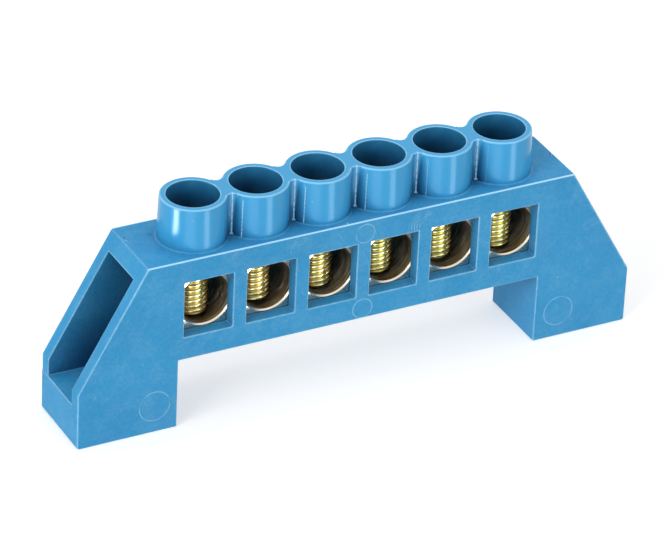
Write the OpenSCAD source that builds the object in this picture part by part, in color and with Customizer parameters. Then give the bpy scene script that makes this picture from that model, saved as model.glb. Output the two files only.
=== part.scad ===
// Six-way earth terminal bar: a moulded bridge housing, the drilled bar inside it and its clamp screws.
// X runs along the row, Y from the wire side to the closed side, Z up from the mounting surface.

/* [Terminals] */
// Number of terminals in the row
ways = 6; // [2:1:12]
// Spacing of the terminals along the bar
pitch = 9.5; // [9.3:0.1:14]

/* [Bar] */
// Thickness of the bar, front to back
bar_t = 7.9; // [6.2:0.1:10]
// Height of the bar
bar_h = 10.8; // [10.4:0.1:14]
// Distance from the last terminal to each end of the bar
bar_end = 5.2; // [5.1:0.1:5.8]
// Diameter of the wire bores
wire_d = 7.7; // [6:0.1:7.8]
// Height of the wire bores' axis above the underside of the bar
wire_z = 5.1; // [4.8:0.05:5.5]
// How far the wire bores lie past their screws, towards +X
wire_shift = 0.4; // [0:0.05:0.6]
// Chamfer round the mouth of each wire bore
wire_chamfer = 0.35; // [0.1:0.05:0.4]
// Height of the blind end of each tapped hole above the underside of the bar
tap_floor = 1.05; // [0.7:0.05:1.2]

/* [Clamp screws] */
// Outside diameter of the screw thread
screw_d = 5; // [4:0.5:5.5]
// Height of the head's underside above the bar when the screw is at its lowest
head_standoff = 0.9; // [0.2:0.1:3]
// Flat end of the screw, inside the lead-in chamfer
screw_tip_d = 3.6; // [2.4:0.1:3.8]
// Diameter of the screw head
head_d = 7; // [6:0.1:7.2]
// Height of the screw head
head_h = 3.2; // [2.6:0.1:4]
// Chamfer round the top of the screw head
head_chamfer = 0.35; // [0.1:0.05:0.5]
// Width of the driver slot across the head
slot_w = 1.1; // [0.8:0.1:1.4]
// Depth of the driver slot
slot_depth = 1.5; // [1:0.1:2]
// Width across the arms of the cross recess
cross_l = 4.6; // [3.6:0.1:5.2]
// Thickness of the arms of the cross recess
cross_w = 1; // [0.7:0.1:1.3]
// Depth of the cross recess
cross_depth = 2.1; // [1.6:0.1:2.4]
// How far each screw stands above its lowest position, one value per screw, repeated along the row
screw_lift = [0.35, 0.35, 0.3, 0.35, 0.4, 0.1];

/* [Housing] */
// Thickness of the front and back walls
wall_t = 2; // [1.6:0.05:4]
// Thickness of the beam under the bar
beam_t = 2.5; // [1.8:0.1:5]
// Thickness of the deck over the bar
deck_t = 2.3; // [1.6:0.1:4]
// Free height under the bridge
bridge_clear = 10.7; // [8:0.1:20]
// Distance from the last terminal to the inner face of the foot
foot_inset = 4.4; // [4.2:0.1:8]
// Length of each foot along the row
foot_l = 15.1; // [14:0.1:24]
// Thickness of the wall between the foot pocket and the space under the bridge
foot_wall = 2.35; // [1.6:0.05:3.5]
// Thickness of the pocket floor that the fixing screw goes through
floor_t = 6.3; // [3:0.1:8]
// Height of the upright part of each end
end_h = 8.6; // [8.2:0.1:10.5]
// Distance from the last terminal to the end of the flat deck
deck_run = 9.3; // [7:0.1:12]
// Step by which the foot block stands out past the end of the back wall
parting_step = 0.15; // [0.05:0.05:0.4]
// Radius of the upright outside corners
corner_r = 0.4; // [0.2:0.1:1.5]

/* [Wire windows] */
// Width of each wire window
window_w = 7.4; // [5:0.1:8]
// Height of each wire window
window_h = 8.6; // [6:0.1:9]
// Height of the window sill above the underside of the bar
window_sill = 1.05; // [0.4:0.05:1.4]

/* [Screw towers] */
// Height of the towers above the deck
tower_h = 6.6; // [4.5:0.1:12]
// Outside diameter of each tower at its rim
tower_d = 9.3; // [8.8:0.1:9.6]
// Bore of each tower
tower_bore = 7.44; // [7.3:0.02:7.8]
// Draft of the tower walls in degrees
tower_draft = 2.2; // [0.5:0.1:3]
// Radius of the outer edge of the rim
rim_r = 0.3; // [0.1:0.05:0.4]
// Thickness of the web that joins the towers, front to back
web_t = 4; // [1:0.1:6]

/* [Fixing] */
// Distance between the two fixing holes
fixing_spacing = 76; // [74:0.5:78]
// Diameter of the fixing holes
fixing_d = 4.5; // [3.5:0.1:5]

/* [Clearances] */
// Gap between the bar and each wall of the tunnel
bar_gap = 0.05; // [0.02:0.01:0.3]
// Gap between the top of the bar and the deck
bar_headroom = 0.1; // [0.05:0.05:0.5]
// Radial gap between screw and tapped hole
thread_gap = 0.05; // [0.02:0.01:0.1]
// Gap under a screw at its lowest position
seat_gap = 0.03; // [0.02:0.01:0.2]

/* [Hidden] */
$fn = 96;
eps = 0.5; // how far a cutter runs past the face it opens

row_l = (ways - 1) * pitch;
terminals = [for (i = [0:ways - 1]) i * pitch - row_l / 2];

tunnel_w = bar_t + 2 * bar_gap;
tunnel_h = bar_h + bar_headroom;
tunnel_z = bridge_clear + beam_t;
body_w = tunnel_w + 2 * wall_t;
deck_z = tunnel_z + tunnel_h + deck_t;

foot_x = row_l / 2 + foot_inset;
end_x = foot_x + foot_l;
deck_x = row_l / 2 + deck_run;
pocket_x = foot_x + foot_wall;

bar_l = row_l + 2 * bar_end;
bore_z = tunnel_z + wire_z;
tip_chamfer = (screw_d - screw_tip_d) / 2;
tap_z = tunnel_z + tap_floor;
tip_seat_z = tap_z + seat_gap;
screw_l = tunnel_z + bar_h + head_standoff - tip_seat_z;

root_t = deck_t / 2; // how deep the towers and their web are rooted in the deck

// Height of the tip of one screw
function tip_z(i) = tip_seat_z + screw_lift[i % len(screw_lift)];

// Half of a side view, from the middle of the bridge out past the face of one foot
module half_outline() {
    polygon([
        [0, bridge_clear],
        [foot_x, bridge_clear],
        [foot_x, 0],
        [end_x + eps, 0],
        [end_x + eps, end_h - eps * (deck_z - end_h) / (end_x - deck_x)],
        [deck_x, deck_z],
        [0, deck_z]
    ]);
}

// Both halves of the side view, drawn out past the front and back faces
module bridge_block() {
    rotate([90, 0, 0])
        linear_extrude(body_w + 2 * eps, center = true)
            for (side = [0, 1])
                mirror([side, 0])
                    half_outline();
}

// Rectangle with rounded corners, centred
module rounded_plan(size, r) {
    square([size[0] - 2 * r, size[1]], center = true);
    square([size[0], size[1] - 2 * r], center = true);
    for (x = [-1, 1], y = [-1, 1])
        translate([x * (size[0] / 2 - r), y * (size[1] / 2 - r)])
            circle(r);
}

// The outer form below the towers: the block, trimmed to its plan with rounded upright corners
module bridge_form() {
    intersection() {
        bridge_block();
        translate([0, 0, -eps])
            linear_extrude(deck_z + 2 * eps)
                rounded_plan([2 * end_x, body_w], corner_r);
    }
}

// One tower rooted in the deck: drafted wall and rounded rim, still solid
module tower_form() {
    rim_x = tower_d / 2 - rim_r;
    rim_z = tower_h - rim_r;
    foot_r = tower_d / 2 + (rim_z + root_t) * tan(tower_draft);
    rotate_extrude() {
        polygon([
            [0, -root_t],
            [foot_r, -root_t],
            [tower_d / 2, rim_z],
            [rim_x, rim_z],
            [rim_x, tower_h],
            [0, tower_h]
        ]);
        translate([rim_x, rim_z])
            circle(rim_r, $fn = 24);
    }
}

// Web along the middle of the row, as high as the towers
module web() {
    rotate([90, 0, 0])
        linear_extrude(web_t, center = true)
            polygon([
                [-row_l / 2, -root_t],
                [row_l / 2, -root_t],
                [row_l / 2, tower_h],
                [-row_l / 2, tower_h]
            ]);
}

// The row of towers and the web that ties them together
module tower_row() {
    translate([0, 0, deck_z]) {
        for (x = terminals)
            translate([x, 0, 0])
                tower_form();
        web();
    }
}

// Lengthwise tunnel for the bar, open at both ends
module tunnel() {
    translate([-end_x - eps, -tunnel_w / 2, tunnel_z])
        cube([2 * (end_x + eps), tunnel_w, tunnel_h]);
}

// Pocket in one foot: open at the end and up through the slope, with the fixing hole in its floor
module foot_pocket() {
    translate([pocket_x, -tunnel_w / 2, floor_t])
        cube([end_x + eps - pocket_x, tunnel_w, tunnel_z + tunnel_h / 2 - floor_t]);
    translate([fixing_spacing / 2, 0, -eps])
        cylinder(h = floor_t + 2 * eps, d = fixing_d);
}

// Step at the end of the back wall, down to the foot block
module back_step() {
    translate([end_x - parting_step, 0, floor_t])
        cube([parting_step + eps, body_w / 2 + eps, deck_z - floor_t]);
}

// Window in the front wall that a wire goes in through
module wire_window() {
    translate([-window_w / 2, -body_w / 2 - eps, tunnel_z + window_sill])
        cube([window_w, wall_t + 2 * eps, window_h]);
}

module housing() {
    color([0.16, 0.52, 0.78])
        difference() {
            union() {
                bridge_form();
                tower_row();
            }
            tunnel();
            for (side = [0, 1])
                mirror([side, 0, 0]) {
                    foot_pocket();
                    back_step();
                }
            for (x = terminals)
                translate([x, 0, 0]) {
                    wire_window();
                    translate([0, 0, deck_z - deck_t - eps])
                        cylinder(h = deck_t + tower_h + 2 * eps, d = tower_bore);
                }
        }
}

// Cutter for one wire bore, chamfered at both faces of the bar
module wire_bore() {
    mouth = wire_d / 2 + wire_chamfer;
    rotate([90, 0, 0]) {
        cylinder(h = bar_t + 2 * eps, d = wire_d, center = true);
        for (side = [0, 1])
            mirror([0, 0, side])
                translate([0, 0, bar_t / 2 - wire_chamfer])
                    cylinder(h = wire_chamfer + eps, r1 = wire_d / 2, r2 = mouth + eps);
    }
}

module terminal_bar() {
    color([0.84, 0.72, 0.46])
        difference() {
            translate([-bar_l / 2, -bar_t / 2, tunnel_z])
                cube([bar_l, bar_t, bar_h]);
            for (x = terminals)
                translate([x, 0, 0]) {
                    translate([wire_shift, 0, bore_z])
                        wire_bore();
                    translate([0, 0, tap_z])
                        cylinder(h = bar_h, d = screw_d + 2 * thread_gap);
                }
        }
}

// Slot and cross recess in the top of a screw head
module driver_recess() {
    translate([-head_d / 2 - eps, -slot_w / 2, -slot_depth])
        cube([head_d + 2 * eps, slot_w, slot_depth + eps]);
    for (turn = [0, 90])
        rotate(turn)
            translate([-cross_l / 2, -cross_w / 2, -cross_depth])
                cube([cross_l, cross_w, cross_depth + eps]);
}

// One clamp screw, standing on its tip
module clamp_screw_form() {
    top = screw_l + head_h;
    difference() {
        rotate_extrude()
            polygon([
                [0, 0],
                [screw_tip_d / 2, 0],
                [screw_d / 2, tip_chamfer],
                [screw_d / 2, screw_l],
                [head_d / 2, screw_l],
                [head_d / 2, top - head_chamfer],
                [head_d / 2 - head_chamfer, top],
                [0, top]
            ]);
        translate([0, 0, top])
            driver_recess();
    }
}

module clamp_screw(i) {
    color([0.80, 0.68, 0.26])
        translate([terminals[i], 0, tip_z(i)])
            clamp_screw_form();
}

housing();
terminal_bar();
for (i = [0:ways - 1])
    clamp_screw(i);
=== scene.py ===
"""Dresses the earth terminal bar: a blue moulded bridge, the drilled bar inside it and its clamp screws.

Sizes are in millimetres until a piece is finished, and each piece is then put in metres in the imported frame.
"""

import logging
import math
from collections.abc import Callable, Iterable, Sequence
from dataclasses import dataclass, field
from enum import Enum
from functools import reduce

import bmesh
import bpy
from mathutils import Matrix, Vector


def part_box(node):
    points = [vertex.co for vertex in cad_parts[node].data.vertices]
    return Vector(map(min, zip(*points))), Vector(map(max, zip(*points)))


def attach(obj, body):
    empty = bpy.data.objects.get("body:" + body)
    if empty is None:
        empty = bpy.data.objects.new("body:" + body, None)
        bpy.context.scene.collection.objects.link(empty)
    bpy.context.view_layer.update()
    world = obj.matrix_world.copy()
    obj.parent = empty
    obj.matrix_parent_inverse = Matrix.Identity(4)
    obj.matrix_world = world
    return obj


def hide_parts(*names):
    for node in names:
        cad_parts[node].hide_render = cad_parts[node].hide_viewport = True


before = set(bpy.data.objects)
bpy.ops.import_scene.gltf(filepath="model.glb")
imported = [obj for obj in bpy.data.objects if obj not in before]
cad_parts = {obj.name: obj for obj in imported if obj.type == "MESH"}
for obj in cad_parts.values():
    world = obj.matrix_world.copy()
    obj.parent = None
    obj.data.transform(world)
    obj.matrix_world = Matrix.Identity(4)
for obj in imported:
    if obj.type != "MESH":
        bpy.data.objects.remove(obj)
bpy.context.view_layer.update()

LOG = logging.getLogger("terminal_bar")
MM = 0.001
SHARP_ANGLE = 32.0
FLAT_ANGLE = 0.5
WELD_DISTANCE = 0.0005
TOUCH = 0.01
NORMAL_WEIGHT = 50
ORIGIN = (0.0, 0.0, 0.0)

Point2 = tuple[float, float]
Point3 = tuple[float, float, float]
Colour = tuple[float, float, float, float]
Socket = bpy.types.NodeSocket
Outputs = bpy.types.NodeOutputs
Wire = bpy.types.NodeSocket | float | Sequence[float]


class Combine(Enum):
    """How one workpiece is combined with another."""

    CUT = "DIFFERENCE"
    JOIN = "UNION"
    KEEP = "INTERSECT"


class Body(Enum):
    """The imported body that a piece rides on."""

    BASE = "base"
    SCREW = "screw_"


class Slot(Enum):
    """The material slot that a piece takes its finish from."""

    MOULDING = "blue_moulding"
    BAR = "bar_metal"
    SCREW = "screw_metal"


# ---------------------------------------------------------------- outlines and workpieces


def arc(centre: Point2, radius: float, start: float, end: float, steps: int) -> list[Point2]:
    """Points of an arc of so many chords, from one angle in degrees to another, both included."""
    turns = [math.radians(start + (end - start) * i / steps) for i in range(steps + 1)]
    return [(centre[0] + radius * math.cos(t), centre[1] + radius * math.sin(t)) for t in turns]


def box_outline(low: Point2, high: Point2) -> list[Point2]:
    """Corners of a rectangle, from its low corner anticlockwise."""
    return [low, (high[0], low[1]), high, (low[0], high[1])]


def stand(name: str, data: bpy.types.ID) -> bpy.types.Object:
    """Puts a new object with its data in the scene."""
    thing = bpy.data.objects.new(name, data)
    bpy.context.scene.collection.objects.link(thing)
    return thing


class Workpiece:
    """A closed mesh in millimetres that is cut, joined and rounded before it becomes a piece."""

    def __init__(self, points: Iterable[Sequence[float]], faces: Iterable[Sequence[int]]) -> None:
        """Makes the mesh.

        Args:
            points: Its corners.
            faces: Its faces, as indices of corners.
        """
        mesh = bpy.data.meshes.new("workpiece")
        mesh.from_pydata([tuple(p) for p in points], [], [tuple(f) for f in faces])
        self.block = stand("workpiece", mesh)
        self.edit(lambda mesh_copy: bmesh.ops.recalc_face_normals(mesh_copy, faces=mesh_copy.faces))

    @classmethod
    def lathe(cls, profile: Sequence[Point2], steps: int = 96) -> "Workpiece":
        """Turns a profile about Z.

        Args:
            profile: Radius and height of each point, from the axis below to the axis above.
            steps: Number of facets round the axis.

        Returns:
            The turned workpiece.
        """
        rings = profile[1:-1]
        points: list[Point3] = [(0.0, 0.0, profile[0][1]), (0.0, 0.0, profile[-1][1])]
        for radius, height in rings:
            for i in range(steps):
                turn = 2 * math.pi * i / steps
                points.append((radius * math.cos(turn), radius * math.sin(turn), height))
        faces: list[list[int]] = []
        for i in range(steps):
            j = (i + 1) % steps
            faces.append([0, 2 + j, 2 + i])
            for ring in range(len(rings) - 1):
                low, high = 2 + ring * steps, 2 + (ring + 1) * steps
                faces.append([low + i, low + j, high + j, high + i])
            last = 2 + (len(rings) - 1) * steps
            faces.append([1, last + i, last + j])
        return cls(points, faces)

    @classmethod
    def loft(cls, sections: Sequence[Sequence[Point3]]) -> "Workpiece":
        """Joins closed sections that have the same number of points.

        Args:
            sections: Each section's points, in the same order.

        Returns:
            The closed workpiece.
        """
        count = len(sections[0])
        points = [p for section in sections for p in section]
        faces: list[list[int]] = [list(range(count))[::-1]]
        for k in range(len(sections) - 1):
            low, high = k * count, (k + 1) * count
            for i in range(count):
                j = (i + 1) % count
                faces.append([low + i, low + j, high + j, high + i])
        top = (len(sections) - 1) * count
        faces.append(list(range(top, top + count)))
        return cls(points, faces)

    @classmethod
    def side_prism(cls, outline: Sequence[Point2], width: float) -> "Workpiece":
        """Draws an X-Z outline out along Y, half of the width to each side."""
        return cls.loft([[(x, y, z) for x, z in outline] for y in (-width / 2, width / 2)])

    @classmethod
    def long_prism(cls, outline: Sequence[Point2], start: float, end: float) -> "Workpiece":
        """Draws a Y-Z outline out along X from start to end."""
        return cls.loft([[(x, y, z) for y, z in outline] for x in (start, end)])

    @classmethod
    def cuboid(cls, low: Point3, high: Point3) -> "Workpiece":
        """A box between two corners."""
        plan = box_outline((low[0], low[1]), (high[0], high[1]))
        return cls.loft([[(x, y, z) for x, y in plan] for z in (low[2], high[2])])

    def edit(self, action: Callable[[bmesh.types.BMesh], object]) -> "Workpiece":
        """Runs one step of mesh editing on the workpiece.

        Args:
            action: What is done to the mesh.

        Returns:
            The same workpiece.
        """
        bench = bmesh.new()
        bench.from_mesh(self.block.data)
        action(bench)
        bench.to_mesh(self.block.data)
        bench.free()
        return self

    def place(self, matrix: Matrix) -> "Workpiece":
        """Moves the mesh itself, so that its object stays at the origin."""
        self.block.data.transform(matrix)
        return self

    def shift(self, x: float = 0.0, y: float = 0.0, z: float = 0.0) -> "Workpiece":
        """Moves the mesh along the axes."""
        return self.place(Matrix.Translation((x, y, z)))

    def settle(self) -> None:
        """Turns what the modifiers make into the workpiece's own mesh."""
        graph = bpy.context.evaluated_depsgraph_get()
        made = bpy.data.meshes.new_from_object(self.block.evaluated_get(graph))
        self.block.modifiers.clear()
        old = self.block.data
        self.block.data = made
        bpy.data.meshes.remove(old)

    def combine(self, other: "Workpiece", how: Combine) -> "Workpiece":
        """Cuts, joins or keeps with another workpiece, which is used up.

        Args:
            other: The cutter or the part that is added.
            how: What is done with it.

        Returns:
            The same workpiece.
        """
        step = self.block.modifiers.new("combine", "BOOLEAN")
        step.operation = how.value
        step.solver = "MANIFOLD"
        step.object = other.block
        self.settle()
        other.discard()
        return self

    def round_edges(
        self, width: float, wide: float = 0.0,
        is_wide: Callable[[bmesh.types.BMEdge], bool] | None = None,
    ) -> "Workpiece":
        """Rounds every edge between faces that meet at more than a slight angle.

        Args:
            width: Width of the rounding.
            wide: Width for the edges that is_wide picks.
            is_wide: Says which edges are rounded more.

        Returns:
            The same workpiece.
        """
        largest = max(width, wide)
        bench = bmesh.new()
        bench.from_mesh(self.block.data)
        bmesh.ops.dissolve_limit(
            bench, angle_limit=math.radians(FLAT_ANGLE), verts=bench.verts, edges=bench.edges
        )
        weight = bench.edges.layers.float.new("bevel_weight_edge")
        for edge in bench.edges:
            if edge.calc_face_angle(0.0) > math.radians(SHARP_ANGLE):
                chosen = wide if is_wide and is_wide(edge) else width
                edge[weight] = chosen / largest
        bench.to_mesh(self.block.data)
        bench.free()
        step = self.block.modifiers.new("round", "BEVEL")
        step.limit_method = "WEIGHT"
        step.width = largest
        step.segments = 2
        step.use_clamp_overlap = False
        step.loop_slide = True
        self.settle()
        return self

    def discard(self) -> None:
        """Removes the workpiece."""
        mesh = self.block.data
        bpy.data.objects.remove(self.block)
        bpy.data.meshes.remove(mesh)

    def finish(self, name: str, material: bpy.types.Material) -> bpy.types.Object:
        """Turns the workpiece into a piece of the scene, in metres and smoothly shaded.

        Args:
            name: The piece's name.
            material: Its material.

        Returns:
            The piece's object.
        """

        def clean(bench: bmesh.types.BMesh) -> None:
            """Welds the mesh and shades it smoothly."""
            bmesh.ops.remove_doubles(bench, verts=bench.verts, dist=WELD_DISTANCE)
            bmesh.ops.dissolve_degenerate(bench, edges=bench.edges, dist=WELD_DISTANCE)
            for face in bench.faces:
                face.smooth = True
                face.material_index = 0

        self.edit(clean)
        self.place(Matrix.Scale(MM, 4))
        mesh = self.block.data
        mesh.set_sharp_from_angle(angle=math.radians(SHARP_ANGLE))
        step = self.block.modifiers.new("normals", "WEIGHTED_NORMAL")
        step.keep_sharp = True
        step.weight = NORMAL_WEIGHT
        self.settle()
        mesh = self.block.data
        for layer in [a for a in mesh.attributes if a.name == "bevel_weight_edge"]:
            mesh.attributes.remove(layer)
        mesh.materials.clear()
        mesh.materials.append(material)
        mesh.name = name
        self.block.name = name
        return self.block


# ---------------------------------------------------------------- node sheets and shared effects


class Sheet:
    """Adds and wires the nodes of one node tree."""

    def __init__(self, tree: bpy.types.NodeTree) -> None:
        """Takes the tree to work on."""
        self.tree = tree

    def add(
        self, kind: str, inputs: dict[str | int, Wire] | None = None, **settings: object
    ) -> bpy.types.Node:
        """Adds a node.

        Args:
            kind: The node's type.
            inputs: What each named input takes, a number or another node's output.
            settings: The node's own properties.

        Returns:
            The node.
        """
        node = self.tree.nodes.new(kind)
        for key, value in settings.items():
            setattr(node, key, value)
        for key, value in (inputs or {}).items():
            self.feed(node.inputs[key], value)
        return node

    @staticmethod
    def emptied(owner: bpy.types.Material | bpy.types.World) -> bpy.types.NodeTree:
        """The node tree of a material or of the surroundings, with nothing in it."""
        owner.use_nodes = True
        owner.node_tree.nodes.clear()
        return owner.node_tree

    def feed(self, socket: Socket, value: Wire) -> None:
        """Links an output to a socket, or sets the socket's own value."""
        if isinstance(value, bpy.types.NodeSocket):
            self.tree.links.new(value, socket)
        else:
            socket.default_value = value

    def math(self, operation: str, *values: Wire, clamp: bool = False) -> Socket:
        """One step of arithmetic."""
        node = self.add("ShaderNodeMath", dict(enumerate(values)), operation=operation, use_clamp=clamp)
        return node.outputs[0]

    def product(self, *values: Wire) -> Socket:
        """All the values multiplied together."""
        return reduce(lambda so_far, value: self.math("MULTIPLY", so_far, value), values)

    def largest(self, *values: Wire) -> Socket:
        """The largest of the values."""
        return reduce(lambda so_far, value: self.math("MAXIMUM", so_far, value), values)

    def vector(self, operation: str, *values: Wire, output: str = "Vector") -> Socket:
        """One step of vector arithmetic."""
        node = self.add("ShaderNodeVectorMath", dict(enumerate(values)), operation=operation)
        return node.outputs[output]

    def dot(self, first: Wire, second: Wire) -> Socket:
        """The dot product of two vectors."""
        return self.vector("DOT_PRODUCT", first, second, output="Value")

    def scaled(self, vector: Wire, factor: float) -> Socket:
        """A vector times a number."""
        node = self.add("ShaderNodeVectorMath", {"Vector": vector, "Scale": factor}, operation="SCALE")
        return node.outputs["Vector"]

    def parts(self, vector: Wire) -> Outputs:
        """A vector's X, Y and Z."""
        return self.add("ShaderNodeSeparateXYZ", {"Vector": vector}).outputs

    def band(self, value: Wire, low: Wire, high: Wire, start: Wire = 0.0, end: Wire = 1.0) -> Socket:
        """A smooth step from start to end as a value goes from low to high."""
        limits = {"Value": value, "From Min": low, "From Max": high, "To Min": start, "To Max": end}
        return self.add("ShaderNodeMapRange", limits, interpolation_type="SMOOTHSTEP").outputs["Result"]

    def size_band(self, value: Wire, low: Wire, high: Wire) -> Socket:
        """A smooth step from 0 to 1 as a value's size, without its sign, goes from low to high."""
        return self.band(self.math("ABSOLUTE", value), low, high)

    def tint(self, factor: Wire, first: Wire, second: Wire) -> Socket:
        """A mix of two colours."""
        return self.add("ShaderNodeMix", {0: factor, 6: first, 7: second}, data_type="RGBA").outputs[2]

    def noise(self, vector: Wire, scale: Wire, detail: float = 3.0, roughness: float = 0.5) -> Socket:
        """Noise between 0 and 1."""
        inputs = {"Vector": vector, "Scale": scale, "Detail": detail, "Roughness": roughness}
        return self.add("ShaderNodeTexNoise", inputs).outputs["Fac"]

    def offset_in_row(self, value: Wire, middle: float, pitch: float) -> Socket:
        """The offset from the nearest of a row of places, one of which is the middle."""
        return self.math("WRAP", self.math("SUBTRACT", value, middle), pitch / 2, -pitch / 2)

    def seen_rays(self) -> tuple[Socket, Outputs]:
        """Whether a ray shows what it meets to the eye, with all the kinds of ray."""
        rays = self.add("ShaderNodeLightPath").outputs
        return self.largest(*(rays[f"Is {kind} Ray"] for kind in ("Camera", "Glossy", "Transmission"))), rays


class PieceSheet(Sheet):
    """The nodes of a piece's material, round one Principled shader."""

    def __init__(self, name: str) -> None:
        """Starts the material with the given name."""
        self.material = bpy.data.materials.new(name)
        super().__init__(self.emptied(self.material))
        self.shader = self.add("ShaderNodeBsdfPrincipled")
        self.add("ShaderNodeOutputMaterial", {"Surface": self.shader.outputs["BSDF"]})
        self.place = self.scaled(self.add("ShaderNodeTexCoord").outputs["Object"], 1 / MM)
        self.axes = self.parts(self.place)

    def mark(self, effect: "Effect", **inputs: Wire) -> Outputs:
        """Puts an effect at the place on the piece."""
        return effect.place(self, {"Place": self.place, **inputs})

    def coat(self, colour: Wire, roughness: Wire, relief: Wire, strength: float, distance: float) -> None:
        """Gives the shader its finish.

        Args:
            colour: The base colour.
            roughness: The roughness.
            relief: The height of the surface.
            strength: How much the relief shows.
            distance: The relief's depth in metres.
        """
        bump = self.add("ShaderNodeBump", {"Strength": strength, "Distance": distance, "Height": relief})
        finish = {"Base Color": colour, "Roughness": roughness, "Normal": bump.outputs["Normal"]}
        for name, value in finish.items():
            self.feed(self.shader.inputs[name], value)


class Effect:
    """A node group that several materials share."""

    def __init__(self, name: str, inputs: dict[str, object], *outputs: str) -> None:
        """Makes the group with its sockets.

        Args:
            name: The group's name.
            inputs: Starting value of each input, a number or a vector.
            outputs: Name of each output.
        """
        self.tree = bpy.data.node_groups.new(name, "ShaderNodeTree")
        for label, value in inputs.items():
            kind = "NodeSocketVector" if isinstance(value, tuple) else "NodeSocketFloat"
            self.tree.interface.new_socket(name=label, in_out="INPUT", socket_type=kind).default_value = value
        for label in outputs:
            self.tree.interface.new_socket(name=label, in_out="OUTPUT", socket_type="NodeSocketFloat")
        self.sheet = Sheet(self.tree)
        self.into = self.sheet.add("NodeGroupInput").outputs
        self.out = self.sheet.add("NodeGroupOutput").inputs

    def place(self, sheet: Sheet, inputs: dict[str, Wire]) -> Outputs:
        """Puts the effect in a material.

        Args:
            sheet: The material's nodes.
            inputs: What its inputs take.

        Returns:
            Its outputs.
        """
        node = sheet.add("ShaderNodeGroup", node_tree=self.tree)
        for key, value in inputs.items():
            sheet.feed(node.inputs[key], value)
        return node.outputs


class EdgeWearAndHighlight(Effect):
    """Finds the edges of a piece, broken up by noise."""

    def __init__(self) -> None:
        """Builds the group."""
        super().__init__("edge_wear_and_highlight", {"Place": ORIGIN, "Reach": 0.0002, "Breakup": 0.5}, "Edge")
        sheet = self.sheet
        rounded = sheet.add("ShaderNodeBevel", {"Radius": self.into["Reach"]}, samples=4).outputs["Normal"]
        plain = sheet.add("ShaderNodeNewGeometry").outputs["Normal"]
        edge = sheet.band(sheet.dot(rounded, plain), 0.995, 0.93)
        patch = sheet.band(sheet.noise(self.into["Place"], 1.6, 4.0), 0.35, 0.65)
        kept = sheet.math("SUBTRACT", 1.0, sheet.product(self.into["Breakup"], patch))
        sheet.feed(self.out["Edge"], sheet.product(edge, kept))


class Hollow(Effect):
    """Finds how deep a place lies in a hollow."""

    def __init__(self, name: str, alone: bool) -> None:
        """Builds the group.

        Args:
            name: The group's name.
            alone: Whether only the piece's own walls count.
        """
        super().__init__(name, {"Reach": 0.006, "Open": 0.85, "Closed": 0.25}, "Depth")
        sheet = self.sheet
        reach = {"Distance": self.into["Reach"]}
        sky = sheet.add("ShaderNodeAmbientOcclusion", reach, samples=4, only_local=alone).outputs["AO"]
        sheet.feed(self.out["Depth"], sheet.band(sky, self.into["Open"], self.into["Closed"]))


class Scuffs(Effect):
    """Hair-fine scratches in two directions, in patches."""

    def __init__(self) -> None:
        """Builds the group."""
        super().__init__("scuffs", {"Place": ORIGIN, "Amount": 0.5}, "Scratch", "Patch")
        sheet, place = self.sheet, self.into["Place"]
        lines: list[Wire] = []
        for angle, stretch in ((0.5, (0.25, 0.25, 9.0)), (-0.9, (0.30, 0.30, 11.0))):
            cloud = sheet.add("ShaderNodeTexNoise", {"Vector": place, "Scale": 0.25, "Detail": 1.0})
            swayed = sheet.vector("ADD", place, sheet.scaled(cloud.outputs["Color"], 2.5))
            turn = {"Vector": swayed, "Axis": (0.0, 1.0, 0.0), "Angle": angle}
            turned = sheet.add("ShaderNodeVectorRotate", turn).outputs["Vector"]
            hair = sheet.noise(sheet.vector("MULTIPLY", turned, stretch), 1.0, 2.0, 0.6)
            lines.append(sheet.band(hair, 0.64, 0.72))
        patch = sheet.band(sheet.noise(place, 0.30, 3.0, 0.6), 0.44, 0.58)
        sheet.feed(self.out["Scratch"], sheet.product(sheet.largest(*lines), patch, self.into["Amount"]))
        sheet.feed(self.out["Patch"], patch)


class RoundMark(Effect):
    """A mark about an axis along Y, close to the height of its centre."""

    def measure(self) -> tuple[Socket, Socket, Socket]:
        """Measures a place against the mark's axis.

        Returns:
            The offset across the axis, its length, and whether the place is near the centre along it.
        """
        offset = self.sheet.vector("SUBTRACT", self.into["Place"], self.into["Centre"])
        flat = self.sheet.vector("MULTIPLY", offset, (1.0, 0.0, 1.0))
        near = self.sheet.size_band(self.sheet.parts(offset)["Y"], 0.5, 0.3)
        return flat, self.sheet.vector("LENGTH", flat, output="Value"), near


class EjectorMark(RoundMark):
    """The thin ring that an ejector pin leaves on a face."""

    def __init__(self) -> None:
        """Builds the group."""
        inputs = {"Place": ORIGIN, "Centre": ORIGIN, "Radius": 2.0, "Line": 0.13}
        super().__init__("ejector_mark", inputs, "Height", "Ring")
        sheet = self.sheet
        _, radius, near = self.measure()
        past = sheet.math("SUBTRACT", radius, self.into["Radius"])
        broken = sheet.band(sheet.noise(self.into["Place"], 0.55, 2.0), 0.34, 0.50, 0.25, 1.0)
        ring = sheet.product(sheet.size_band(past, self.into["Line"], 0.0), broken, near)
        sheet.feed(self.out["Ring"], ring)
        sheet.feed(self.out["Height"], sheet.math("MULTIPLY_ADD", sheet.band(past, 0.1, -0.1), near, ring))


class Grain(Effect):
    """Fine surface texture and slow variation of tone."""

    def __init__(self) -> None:
        """Builds the group."""
        super().__init__("grain", {"Place": ORIGIN, "Fineness": 6.0, "Spread": 0.15}, "Height", "Tone")
        sheet, place = self.sheet, self.into["Place"]
        sheet.feed(self.out["Height"], sheet.noise(place, self.into["Fineness"], 4.0, 0.6))
        sheet.feed(self.out["Tone"], sheet.noise(place, self.into["Spread"], 3.0, 0.55))


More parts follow.
